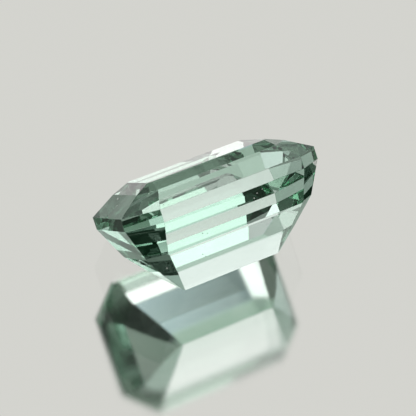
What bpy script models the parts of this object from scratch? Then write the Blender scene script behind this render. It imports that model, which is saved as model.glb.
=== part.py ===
"""A step-cut tourmaline, ten millimetres long, lying on one of its pavilion facets.

The stone is cut here as a gem cutter works: from a block, one flat facet after another.
Its own frame while it is cut has the long axis along X, the table facing up, and the
upper edge of the girdle at height zero. Metres, +Z up.
"""

import math
from collections import namedtuple

import bmesh
import bpy
from mathutils import Matrix, Vector

MM = 0.001

# Girdle: the upright band round the widest part of the stone, an oblong with its corners cut off
LENGTH = 10.0 * MM
WIDTH = 6.96 * MM
CORNER_CUT = 1.42 * MM
GIRDLE_THICKNESS = 0.60 * MM

# Tiers of facets: height of the tier, and how far its facets lean from the plane of the girdle, in degrees
Tier = namedtuple("Tier", "height side end corner")
CROWN = (
    Tier(0.72 * MM, side=34.8, end=31.4, corner=32.9),
    Tier(0.32 * MM, side=20.0, end=22.9, corner=24.1),
)
PAVILION = (
    Tier(1.63 * MM, side=55.6, end=67.0, corner=63.0),
    Tier(1.13 * MM, side=44.1, end=53.3, corner=42.7),
)
KEEL_SIDE_ANGLE = 42.3
KEEL_HALF_LENGTH = 2.54 * MM

# The stone lies on the far side's facet of this pavilion tier, the one that its centre of mass is over
RESTING_TIER = PAVILION[1]

# The rough block that the facets are cut from is this much larger than the stone each way
BLOCK_MARGIN = 1.0 * MM
MERGE = 1e-7

# Eight facets to a tier: the turn of each round the stone, and which of the tier's angles it has
TURNS = {
    "side": (90.0, 270.0),
    "end": (0.0, 180.0),
    "corner": (45.0, 135.0, 225.0, 315.0),
}

STONE_COLOUR = (0.62, 0.90, 0.74, 1.0)
STONE_IOR = 1.63


def clear_scene():
    """Removes every object of the scene."""
    for thing in list(bpy.data.objects):
        bpy.data.objects.remove(thing, do_unlink=True)


def girdle_reach():
    """Distance of each kind of girdle face from the stone's upright axis."""
    half_length, half_width = LENGTH / 2, WIDTH / 2
    corner = (half_length + half_width - CORNER_CUT) / math.sqrt(2)
    return {"side": half_width, "end": half_length, "corner": corner}


def reach_after(reach, tier):
    """Distance of each kind of facet from the axis at the far edge of a tier."""
    return {kind: reach[kind] - tier.height / math.tan(math.radians(getattr(tier, kind))) for kind in reach}


def keel_tier(reach):
    """The last pavilion tier, whose sides meet in the keel and whose other facets meet at the keel's ends."""
    depth = reach["side"] * math.tan(math.radians(KEEL_SIDE_ANGLE))
    end = math.degrees(math.atan2(depth, reach["end"] - KEEL_HALF_LENGTH))
    corner = math.degrees(math.atan2(depth, reach["corner"] - KEEL_HALF_LENGTH / math.sqrt(2)))
    return Tier(depth, side=KEEL_SIDE_ANGLE, end=end, corner=corner)


def cut_facet(stone, point, normal):
    """Cuts away what lies past a plane and closes the stone with one flat facet."""
    everything = stone.verts[:] + stone.edges[:] + stone.faces[:]
    cut = bmesh.ops.bisect_plane(
        stone, geom=everything, dist=MERGE, plane_co=point, plane_no=normal, clear_outer=True
    )
    rim = [edge for edge in cut["geom_cut"] if isinstance(edge, bmesh.types.BMEdge)]
    bmesh.ops.edgeloop_fill(stone, edges=[edge for edge in rim if edge.is_boundary])


def cut_tier(stone, reach, height, angles, towards):
    """Cuts the eight facets that start at the given height, and lean in over the table (+1) or the keel (-1)."""
    for kind, turns in TURNS.items():
        lean = math.radians(getattr(angles, kind))
        for turn in turns:
            outwards = Vector((math.cos(math.radians(turn)), math.sin(math.radians(turn)), 0.0))
            normal = outwards * math.sin(lean) + Vector((0.0, 0.0, towards * math.cos(lean)))
            cut_facet(stone, outwards * reach[kind] + Vector((0.0, 0.0, height)), normal)


def cut_crown(stone):
    """Cuts the crown tiers over the girdle, and the table on top of them."""
    reach, height = girdle_reach(), 0.0
    for tier in CROWN:
        cut_tier(stone, reach, height, tier, towards=1)
        reach, height = reach_after(reach, tier), height + tier.height
    cut_facet(stone, Vector((0.0, 0.0, height)), Vector((0.0, 0.0, 1.0)))


def cut_pavilion(stone):
    """Cuts the pavilion tiers under the girdle, down to the keel."""
    reach, height = girdle_reach(), -GIRDLE_THICKNESS
    for tier in PAVILION:
        cut_tier(stone, reach, height, tier, towards=-1)
        reach, height = reach_after(reach, tier), height - tier.height
    cut_tier(stone, reach, height, keel_tier(reach), towards=-1)


def cut_stone():
    """The whole stone, table up, cut from its block."""
    stone = bmesh.new()
    bmesh.ops.create_cube(stone, size=1.0)
    tall = 2 * max(LENGTH, WIDTH)
    block = Vector((LENGTH + 2 * BLOCK_MARGIN, WIDTH + 2 * BLOCK_MARGIN, tall))
    bmesh.ops.scale(stone, vec=block, verts=stone.verts)
    upright = Tier(GIRDLE_THICKNESS, side=90.0, end=90.0, corner=90.0)
    cut_tier(stone, girdle_reach(), 0.0, upright, towards=1)
    cut_crown(stone)
    cut_pavilion(stone)
    bmesh.ops.remove_doubles(stone, verts=stone.verts, dist=MERGE)
    bmesh.ops.recalc_face_normals(stone, faces=stone.faces)
    mesh = bpy.data.meshes.new("tourmaline_stone")
    stone.to_mesh(mesh)
    stone.free()
    return mesh


def clear_green_tourmaline():
    """Clear, pale green and polished."""
    material = bpy.data.materials.new("clear_green_tourmaline")
    material.use_nodes = True
    shader = material.node_tree.nodes["Principled BSDF"]
    shader.inputs["Base Color"].default_value = STONE_COLOUR
    shader.inputs["Roughness"].default_value = 0.0
    shader.inputs["Metallic"].default_value = 0.0
    shader.inputs["IOR"].default_value = STONE_IOR
    shader.inputs["Transmission Weight"].default_value = 1.0
    return material


def lay_down(stone):
    """Tips the stone onto its resting facet, and centres it over the origin."""
    tip = Matrix.Rotation(-math.radians(RESTING_TIER.side), 4, "X")
    corners = [tip @ vertex.co for vertex in stone.data.vertices]
    low = [min(corner[axis] for corner in corners) for axis in range(3)]
    high = [max(corner[axis] for corner in corners) for axis in range(3)]
    stone.rotation_euler = tip.to_euler()
    stone.location = (-(low[0] + high[0]) / 2, -(low[1] + high[1]) / 2, -low[2])


def main():
    clear_scene()
    collection = bpy.data.collections.new("step_cut_tourmaline")
    bpy.context.scene.collection.children.link(collection)
    stone = bpy.data.objects.new("tourmaline_stone", cut_stone())
    stone.data.materials.append(clear_green_tourmaline())
    collection.objects.link(stone)
    lay_down(stone)


main()
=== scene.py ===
# %% [markdown]
# # A step-cut tourmaline
#
# The object is one loose gemstone: a pale green tourmaline cut as a long octagon, with its facets in
# steps like a staircase. It lies tipped back on one facet of its lower half. The CAD frame holds its
# exact facets. This lesson gives them the finish of the real stone and lights them as a gem photographer
# would.
#
# A gem has almost no look of its own. What the eye sees in it is the light around it, bent and thrown
# back by the facets. So most of the work is in the camera, the glass-like body and the studio, in that
# order.

# %% Load the frame
import math
import random

import bpy
from mathutils import Matrix, Vector


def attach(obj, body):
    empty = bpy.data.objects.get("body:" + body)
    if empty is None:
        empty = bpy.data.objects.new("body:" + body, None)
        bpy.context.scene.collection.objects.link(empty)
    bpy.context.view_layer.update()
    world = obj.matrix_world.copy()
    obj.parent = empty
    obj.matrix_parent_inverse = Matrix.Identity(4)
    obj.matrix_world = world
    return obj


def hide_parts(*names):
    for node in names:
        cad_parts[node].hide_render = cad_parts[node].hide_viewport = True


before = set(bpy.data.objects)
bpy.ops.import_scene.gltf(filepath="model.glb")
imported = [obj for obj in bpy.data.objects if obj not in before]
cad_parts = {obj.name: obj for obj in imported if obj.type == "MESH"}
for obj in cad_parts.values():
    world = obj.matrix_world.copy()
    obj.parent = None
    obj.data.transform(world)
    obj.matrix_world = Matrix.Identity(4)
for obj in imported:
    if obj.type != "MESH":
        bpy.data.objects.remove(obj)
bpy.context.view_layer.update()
stone_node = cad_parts["tourmaline_stone"]
MM = 0.001

# %% [markdown]
# ## The camera
#
# A gem is photographed from close by with a long macro lens. The camera looks down on the stone at 48
# degrees and a little from its left end. It could be moved by hand until the view looks right. Its axes
# are worked out from three angles here instead, because a degree more or less changes which facets light
# up.

# %% Camera axes
AZIMUTH = -30.88
ELEVATION = 48.45
ROLL = 3.0


def camera_axes():
    """The directions right, up and back of the camera, in the frame."""
    turn, rise, roll = (math.radians(angle) for angle in (AZIMUTH, ELEVATION, ROLL))
    back = Vector((math.sin(turn) * math.cos(rise), -math.cos(turn) * math.cos(rise), math.sin(rise)))
    level = Vector((0, 0, 1)).cross(back).normalized()
    plumb = back.cross(level)
    right = level * math.cos(roll) + plumb * math.sin(roll)
    return right, back.cross(right), back


print("camera looks from", [round(part, 3) for part in camera_axes()[2]])

# %% [markdown]
# ## The lens
#
# The distance sets how much nearer the front of the stone looks than its back, and the lens how large it
# is in the picture. The lens follows from how many pixels a millimetre of the stone takes. AIM is a point
# in the stone, and AIM_PIXEL is where that point belongs in the picture.

# %% Camera
DISTANCE = 79.2 * MM
IMAGE_SIDE = 416
PIXELS_PER_MM = 21.35
AIM = Vector((0.0, 0.375, 2.5)) * MM
AIM_PIXEL = (202.4, 192.7)
SENSOR = 36.0
NEAREST = 1 * MM
FARTHEST = 5.0


def make_camera():
    right, up, back = camera_axes()
    data = bpy.data.cameras.new("macro_camera")
    data.sensor_width = SENSOR
    data.lens = PIXELS_PER_MM * DISTANCE / MM * SENSOR / IMAGE_SIDE
    data.clip_start, data.clip_end = NEAREST, FARTHEST
    camera = bpy.data.objects.new("macro_camera", data)
    bpy.context.collection.objects.link(camera)
    aside, below = ((pixel - IMAGE_SIDE / 2) / PIXELS_PER_MM * MM for pixel in AIM_PIXEL)
    camera.location = AIM + back * DISTANCE - right * aside + up * below
    camera.rotation_mode = "QUATERNION"
    camera.rotation_quaternion = Matrix((right, up, back)).transposed().to_quaternion()
    bpy.context.scene.camera = camera
    return camera


camera = make_camera()
print("lens", round(camera.data.lens, 1), "mm")

# %% [markdown]
# ## Helpers for the finishes
#
# Every finish is a small tree of shader nodes. Colours are written as sRGB hex, the way a picture program
# shows them, and one function turns them into the linear values that Blender computes with. A second
# function adds a node, sets it and links it in one line.

# %% Material helpers


def linear(hex_colour):
    """An sRGB hex colour as linear RGBA."""
    parts = [int(hex_colour[i:i + 2], 16) / 255 for i in (1, 3, 5)]
    return [p / 12.92 if p <= 0.04045 else ((p + 0.055) / 1.055) ** 2.4 for p in parts] + [1.0]


def add_node(tree, kind, settings=None, links=None):
    """Adds a node, sets its inputs (by name or number) or its properties, and links its inputs."""
    node = tree.nodes.new(kind)
    for key, value in (settings or {}).items():
        if isinstance(key, int) or key in node.inputs:
            node.inputs[key].default_value = value
        else:
            setattr(node, key, value)
    for key, source in (links or {}).items():
        tree.links.new(source, node.inputs[key])
    return node


def new_material(name):
    material = bpy.data.materials.new(name)
    material.use_nodes = True
    material.node_tree.nodes.clear()
    return material, material.node_tree


print("middle grey in linear light", round(linear("#808080")[0], 3))

# %% [markdown]
# ## The stone's finish
#
# Tourmaline bends light with an index of 1.63, so most of the light that enters through the crown is
# turned back by the lower facets. The pale mint comes from the depth of stone that the light crosses, and
# not from its skin. Tinting the surface would colour every facet alike. So the surface is left white, and
# the colour is an absorption inside the solid: short ways through it stay pale, and long ones turn deep
# green.

# %% Stone finish
TOURMALINE_IOR = 1.63
BODY_COLOUR = "#c7e7d7"
BODY_DENSITY = 120.0


def stone_material():
    # polished crystal: sharp glints, no haze, and a green that deepens along the light's way
    material, tree = new_material("polished_tourmaline")
    shader = add_node(tree, "ShaderNodeBsdfPrincipled", {
        "Base Color": (1, 1, 1, 1), "Roughness": 0.0, "IOR": TOURMALINE_IOR, "Transmission Weight": 1.0})
    body = add_node(tree, "ShaderNodeVolumeAbsorption", {
        "Color": linear(BODY_COLOUR), "Density": BODY_DENSITY})
    add_node(tree, "ShaderNodeOutputMaterial", links={
        "Surface": shader.outputs[0], "Volume": body.outputs[0]})
    return material


print("body colour in linear light", [round(part, 2) for part in linear(BODY_COLOUR)[:3]])

# %% [markdown]
# ## The facets
#
# The cutter ground 49 flat facets. They could be cut again from a block with the bisect tool, but the CAD
# mesh already has each one in its exact place. It has them in loose triangles, so a copy of it is merged
# and every flat area becomes one face again. They stay flat shaded: a gem with smoothed normals looks
# like melted candy.

# %% Whole facets
FLAT_ANGLE = math.radians(0.5)
SAME_POINT = 0.001 * MM


def merge_triangles(stone):
    bpy.ops.object.mode_set(mode="EDIT")
    bpy.ops.mesh.select_all(action="SELECT")
    bpy.ops.mesh.remove_doubles(threshold=SAME_POINT)
    bpy.ops.mesh.dissolve_limited(angle_limit=FLAT_ANGLE)
    bpy.ops.object.mode_set(mode="OBJECT")
    print("facets", len(stone.data.polygons))


# %% [markdown]
# ## The edges
#
# Where two facets meet, polishing leaves an edge a few thousandths of a millimetre wide. Edge by edge in
# edit mode would take long. A bevel modifier of one segment finds them all by their angle, and it draws a
# hair-thin line between the facets in a close view.

# %% The stone
EDGE_WIDTH = 0.005 * MM
EDGE_ANGLE = math.radians(4.0)


def round_edges(stone):
    bevel = stone.modifiers.new("polished_edges", "BEVEL")
    bevel.width = EDGE_WIDTH
    bevel.segments = 1
    bevel.limit_method = "ANGLE"
    bevel.angle_limit = EDGE_ANGLE
    bpy.ops.object.modifier_apply(modifier=bevel.name)
    print("faces with the edges", len(stone.data.polygons))


def make_stone():
    mesh = stone_node.data.copy()
    mesh.materials.clear()
    stone = bpy.data.objects.new("polished_stone", mesh)
    bpy.context.collection.objects.link(stone)
    bpy.ops.object.select_all(action="DESELECT")
    bpy.context.view_layer.objects.active = stone
    stone.select_set(True)
    merge_triangles(stone)
    round_edges(stone)
    mesh.materials.append(stone_material())
    for face in mesh.polygons:
        face.use_smooth = False
    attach(stone, "root")
    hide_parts("tourmaline_stone")
    return stone


stone = make_stone()

# %% [markdown]
# ## Where the dust lies
#
# Close up, every loose stone has dust on it. A particle system could scatter it anywhere. Here each grain
# lies at a listed pixel where one shows on the real stone: a ray from the camera through that pixel finds
# the facet. The same camera axes as before turn a pixel into a direction.

# %% Pixel to facet
# Pixel across and down, width in hundredths of a millimetre, and length against width.
GRAINS = [(257, 193, 6, 1.2), (254, 198, 7, 1.0), (262, 189, 5, 1.0), (167, 268, 7, 1.0), (166, 277, 4, 1.3),
          (115, 238, 6, 1.0), (139, 262, 4, 1.0), (149, 194, 4, 1.4), (118, 199, 7, 2.2), (117, 206, 5, 1.5),
          (116, 226, 6, 1.2), (120, 229, 5, 1.0), (112, 227, 5, 1.0), (124, 235, 4, 1.0)]


def facet_under(across, down):
    """The point and the normal of the stone at a pixel of the picture."""
    right, up, back = camera_axes()
    focal = PIXELS_PER_MM * DISTANCE / MM
    half = IMAGE_SIDE / 2
    ray = (-back * focal + right * (across - half) - up * (down - half)).normalized()
    found, place, normal, _ = stone.ray_cast(camera.location, ray)
    return (place, normal) if found else None


print("grains looked for", len(GRAINS))

# %% [markdown]
# ## The grains
#
# A grain is a crumb of lint or mineral dust: irregular, matt and nearly white. It starts as a ball of
# twenty faces, is flattened and subdivided with a random offset in edit mode, and is laid on its facet,
# sunk in a little so that no gap shows. All grains are joined in one piece.

# %% Dust finish


def grain_material():
    # dry mineral dust: matt, so it stays a pale point on bright and dark facets alike
    material, tree = new_material("pale_dust")
    shader = add_node(tree, "ShaderNodeBsdfPrincipled", {
        "Base Color": linear("#e9ebe6"), "Roughness": 0.9})
    add_node(tree, "ShaderNodeOutputMaterial", links={"Surface": shader.outputs[0]})
    return material


# %% One grain
FLATNESS = 0.6
CRUMBLE = 0.6
SINK = 0.3
SHAPES = 1000


def make_grain(place, normal, width, stretch):
    bpy.ops.object.select_all(action="DESELECT")
    bpy.ops.mesh.primitive_ico_sphere_add(subdivisions=1, radius=width / 2)
    grain = bpy.context.active_object
    bpy.ops.object.mode_set(mode="EDIT")
    bpy.ops.mesh.select_all(action="SELECT")
    bpy.ops.transform.resize(value=(stretch, 1.0, FLATNESS), center_override=(0, 0, 0))
    bpy.ops.mesh.subdivide(number_cuts=1, fractal=CRUMBLE, seed=random.randrange(SHAPES))
    bpy.ops.object.mode_set(mode="OBJECT")
    spin = Matrix.Rotation(random.uniform(0, math.pi), 3, "Z")
    turn = normal.to_track_quat("Z", "Y").to_matrix() @ spin
    centre = place + normal * width * SINK * FLATNESS
    grain.data.transform(Matrix.Translation(centre) @ turn.to_4x4())
    return grain


# %% All grains
GRAIN_UNIT = 0.01 * MM
DUST_SEED = 7
# No grain lies on the two end facets, where it would stick out of the stone's length.
END_FACET = 0.9


def make_dust():
    random.seed(DUST_SEED)
    grains = []
    for across, down, width, stretch in GRAINS:
        spot = facet_under(across, down)
        if spot and abs(spot[1].x) < END_FACET:
            grains.append(make_grain(*spot, width * GRAIN_UNIT, stretch))
    bpy.ops.object.select_all(action="DESELECT")
    for grain in grains:
        grain.select_set(True)
    dust = grains[0]
    bpy.context.view_layer.objects.active = dust
    bpy.ops.object.join()
    dust.name = "dust_grains"
    dust.data.materials.clear()
    dust.data.materials.append(grain_material())
    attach(dust, "root")
    print("grains laid", len(grains))
    return dust


dust = make_dust()

# %% [markdown]
# ## The silver under the floor
#
# The stone lies on a mirror. Its silver is under a sheet of glass, 2 mm below the facet that the stone
# rests on, so the stone's image starts twice as deep, 4 mm below that facet. A macro lens has the stone
# sharp and its image soft. The lens of this camera has everything sharp, so the silver is slightly rough
# where the camera looks at it, which blurs the image in the same way. The light that the stone throws
# down and gets back meets smooth silver, as on a real mirror.

# %% Silver finish
SILVER_COLOUR = "#f5f4f1"
SOFT_FOCUS = 0.12


def silver_material():
    # silver behind glass: it keeps nearly all the light and warms it by a trace
    material, tree = new_material("silvered_glass")
    smooth = add_node(tree, "ShaderNodeBsdfPrincipled", {
        "Base Color": linear(SILVER_COLOUR), "Metallic": 1.0, "Roughness": 0.0})
    soft = add_node(tree, "ShaderNodeBsdfAnisotropic", {
        "Color": linear(SILVER_COLOUR), "Roughness": SOFT_FOCUS, "distribution": "BECKMANN"})
    seen = add_node(tree, "ShaderNodeLightPath").outputs["Is Camera Ray"]
    both = add_node(tree, "ShaderNodeMixShader", links={0: seen, 1: smooth.outputs[0], 2: soft.outputs[0]})
    add_node(tree, "ShaderNodeOutputMaterial", links={"Surface": both.outputs[0]})
    return material


# %% Silvered floor
FLOOR_SIDE = 2.0
SILVER_DEPTH = 2.05 * MM


def make_floor(name, depth, material):
    bpy.ops.object.select_all(action="DESELECT")
    bpy.ops.mesh.primitive_plane_add(size=FLOOR_SIDE, location=(0, 0, -depth))
    floor = bpy.context.active_object
    floor.name = name
    floor.data.materials.append(material)
    print(name, "lies", round(depth / MM, 2), "mm below the stone")
    return floor


floor = make_floor("silvered_floor", SILVER_DEPTH, silver_material())

# %% [markdown]
# ## The glass over the silver
#
# The top of the glass is a second plane, clear from straight above and more and more glossy from the
# side. Its faint reflection touches the stone and shows that it lies on something. A solid sheet of glass
# would bend the light and cost many more bounces. A Fresnel node mixes clear and glossy by the angle of
# view, and it counts only from above, because light that comes back up from the silver leaves through the
# glass.

# %% Glass top
GLASS_IOR = 1.52
GLASS_GAP = 0.02 * MM
GLASS_HAZE = 0.04


def glass_material():
    # float glass: clear, with a faint gloss that grows towards a low view
    material, tree = new_material("clear_glass_top")
    fresnel = add_node(tree, "ShaderNodeFresnel", {"IOR": GLASS_IOR}).outputs[0]
    below = add_node(tree, "ShaderNodeNewGeometry").outputs["Backfacing"]
    above = add_node(tree, "ShaderNodeMath", {"operation": "SUBTRACT", 0: 1.0}, {1: below}).outputs[0]
    shine = add_node(tree, "ShaderNodeMath", {"operation": "MULTIPLY"}, {0: fresnel, 1: above}).outputs[0]
    clear = add_node(tree, "ShaderNodeBsdfTransparent")
    gloss = add_node(tree, "ShaderNodeBsdfAnisotropic", {
        "Roughness": GLASS_HAZE, "distribution": "BECKMANN"})
    both = add_node(tree, "ShaderNodeMixShader", links={0: shine, 1: clear.outputs[0], 2: gloss.outputs[0]})
    add_node(tree, "ShaderNodeOutputMaterial", links={"Surface": both.outputs[0]})
    return material


glass_top = make_floor("floor_glass_top", GLASS_GAP, glass_material())

# %% [markdown]
# ## The studio light
#
# A cut stone is a set of mirrors: what the eye sees in it is the room, cut in strips. So the light is a
# plain studio of soft panels around the stone. A long white softbox runs from the near right up over it
# and gives the bright strips. A pale wall stands behind and gives the broad pale bands. Dark panels
# between them give the black patches. Area lamps could stand there too, but the stone is tiny and the
# panels are far, so only their direction counts, and panels painted on the sky give no noise.

# %% Studio panels
BACKDROP = "#dddedb"
ROOM = ("#e9ffee", 0.16)
# Walls and cards are white or grey, and stop the stone from falling to black. Dark panels give it contrast.
# In degrees: heading from +Y towards +X, elevation, half width, half height and width of the soft edge.
# Then the colour and the strength. A later panel stands in front of an earlier one.
PANELS = {
    "dim_wall": (15, 25, 42, 17, 8, "#ecfff6", 0.52),
    "right_card": (80, 29, 14, 8, 5, "#eefff3", 0.31),
    "high_right_card": (90, 72, 12, 9, 5, "#e4ffff", 0.22),
    "blue_high_card": (66, 72, 3, 6, 6, "#dcf2ff", 0.98),
    "low_near_card": (-175, 9, 38, 7, 5, "#e9ffee", 0.26),
    "dark_near_right": (128, 14, 12, 6, 3, "#b0ffd0", 0.02),
    "low_right_card": (125, 24, 12, 2, 2, "#e9ffee", 0.4),
    "pale_wall": (22, 28, 15, 17, 3, "#fffeff", 0.98),
    "high_card": (32, 61, 24, 8, 8, "#e5fff0", 0.58),
    "left_high_card": (-48, 50, 9, 8, 6, "#f1fffd", 0.7),
    "rear_high_card": (-4, 56, 5, 4, 3, "#f1fffd", 0.95),
    "dark_camera": (-137, 52, 24, 20, 4, "#b0ffd0", 0.02),
    "long_softbox": (151, 64, 12, 30, 3, "#fcffff", 1.6),
    "low_softbox": (158, 24, 5, 4, 2, "#fcffff", 1.0),
    "left_card": (-113, 20, 10, 8, 3, "#fff0f6", 1.1),
    "rear_left_card": (-31, 15, 5, 5, 3, "#effff5", 1.4),
    "near_card": (-162, 35, 8, 7, 2, "#fff0f8", 0.72),
    "dark_near": (177, 13, 10, 11, 4, "#b0ffd0", 0.04),
    "dark_right": (99, 47, 18, 11, 5, "#b0ffd0", 0.01),
    "dark_low_right": (123, 32, 9, 5, 3, "#b0ffd0", 0.01),
    "dark_floor_right": (105, 3, 12, 8, 4, "#b0ffd0", 0.02),
    "dark_far_right": (54, 13, 6, 5, 4, "#b0ffd0", 0.02),
    "dark_left": (-70, 20, 12, 12, 6, "#b0ffd0", 0.02),
    "dark_rear": (-16, 40, 8, 5, 4, "#b0ffd0", 0.03),
}
print("panels", len(PANELS))

# %% [markdown]
# ## A panel on the sky
#
# Each panel is a rectangle in the sky. The direction of the light ray is measured along the panel's own
# three axes. How far it goes aside and up, divided by how far it goes ahead, is where it meets the panel.
# Those two are compared with the panel's half width and half height, with a soft step at the edge.

# %% Panel mask
LEAST_AHEAD = 0.001


def along_axis(tree, direction, axis):
    settings = {"operation": "DOT_PRODUCT", 1: axis}
    return add_node(tree, "ShaderNodeVectorMath", settings, {0: direction}).outputs["Value"]


def panel_mask(tree, direction, heading, elevation, half_width, half_height, edge):
    """1 inside the panel, 0 outside, as a node socket."""
    turn, rise = math.radians(heading), math.radians(elevation)
    ahead = Vector((math.sin(turn) * math.cos(rise), math.cos(turn) * math.cos(rise), math.sin(rise)))
    right = Vector((math.cos(turn), -math.sin(turn), 0))
    up = right.cross(ahead)
    depth = add_node(tree, "ShaderNodeMath", {"operation": "MAXIMUM", 1: LEAST_AHEAD}, {
        0: along_axis(tree, direction, ahead)}).outputs[0]
    sides = []
    for axis, half in ((right, half_width), (up, half_height)):
        slope = add_node(tree, "ShaderNodeMath", {"operation": "DIVIDE"}, {
            0: along_axis(tree, direction, axis), 1: depth}).outputs[0]
        off = add_node(tree, "ShaderNodeMath", {"operation": "ABSOLUTE"}, {0: slope}).outputs[0]
        side = add_node(tree, "ShaderNodeMapRange", {
            "interpolation_type": "SMOOTHSTEP", "From Min": math.tan(math.radians(half + edge)),
            "From Max": math.tan(math.radians(half))}, {0: off})
        sides.append(side.outputs[0])
    return add_node(tree, "ShaderNodeMath", {"operation": "MULTIPLY"}, {0: sides[0], 1: sides[1]}).outputs[0]


# %% [markdown]
# ## The backdrop
#
# The camera and the bare floor see a plain pale backdrop, as on a product page. The stone sees the
# studio. The two are told apart by how the ray came: mirror-like facets send on singular rays, and a ray
# that has been in the stone has bounced three times or more, while one that comes off the bare floor has
# bounced less often.

# %% Studio
STONE_BOUNCES = 2.5


def light(hex_colour, strength):
    return [part * strength for part in linear(hex_colour)[:3]] + [1.0]


def sees_studio(tree):
    """1 for a ray that comes from the stone, as a node socket."""
    path = add_node(tree, "ShaderNodeLightPath").outputs
    deep = add_node(tree, "ShaderNodeMath", {"operation": "GREATER_THAN", 1: STONE_BOUNCES}, {
        0: path["Ray Depth"]})
    return add_node(tree, "ShaderNodeMath", {"operation": "MAXIMUM"}, {
        0: path["Is Singular Ray"], 1: deep.outputs[0]}).outputs[0]


def make_studio():
    world = bpy.data.worlds.new("gem_studio")
    world.use_nodes = True
    tree = world.node_tree
    tree.nodes.clear()
    direction = add_node(tree, "ShaderNodeTexCoord").outputs["Generated"]
    room = add_node(tree, "ShaderNodeRGB")
    room.outputs[0].default_value = light(*ROOM)
    colour = room.outputs[0]
    for heading, elevation, half_width, half_height, edge, tint, strength in PANELS.values():
        mask = panel_mask(tree, direction, heading, elevation, half_width, half_height, edge)
        colour = add_node(tree, "ShaderNodeMix", {"data_type": "RGBA", 7: light(tint, strength)}, {
            0: mask, 6: colour}).outputs[2]
    studio = add_node(tree, "ShaderNodeBackground", links={"Color": colour})
    backdrop = add_node(tree, "ShaderNodeBackground", {"Color": linear(BACKDROP)})
    both = add_node(tree, "ShaderNodeMixShader", links={
        0: sees_studio(tree), 1: backdrop.outputs[0], 2: studio.outputs[0]})
    add_node(tree, "ShaderNodeOutputWorld", links={"Surface": both.outputs[0]})
    bpy.context.scene.world = world
    print("studio nodes", len(tree.nodes))


make_studio()

# %% [markdown]
# ## Enough bounces
#
# Light can run round inside a gem many times before it finds a way out. Each bounce that is cut off
# leaves a black spot, so the limits are raised. The Standard view keeps the white of the softbox and the
# plain greens, where a film-like view would grey them.

# %% Render limits
BOUNCES = 32
scene = bpy.context.scene
scene.view_settings.view_transform = "Standard"
scene.cycles.max_bounces = BOUNCES
scene.cycles.glossy_bounces = BOUNCES
scene.cycles.transmission_bounces = BOUNCES
scene.cycles.transparent_max_bounces = BOUNCES
print("bounces", scene.cycles.max_bounces)
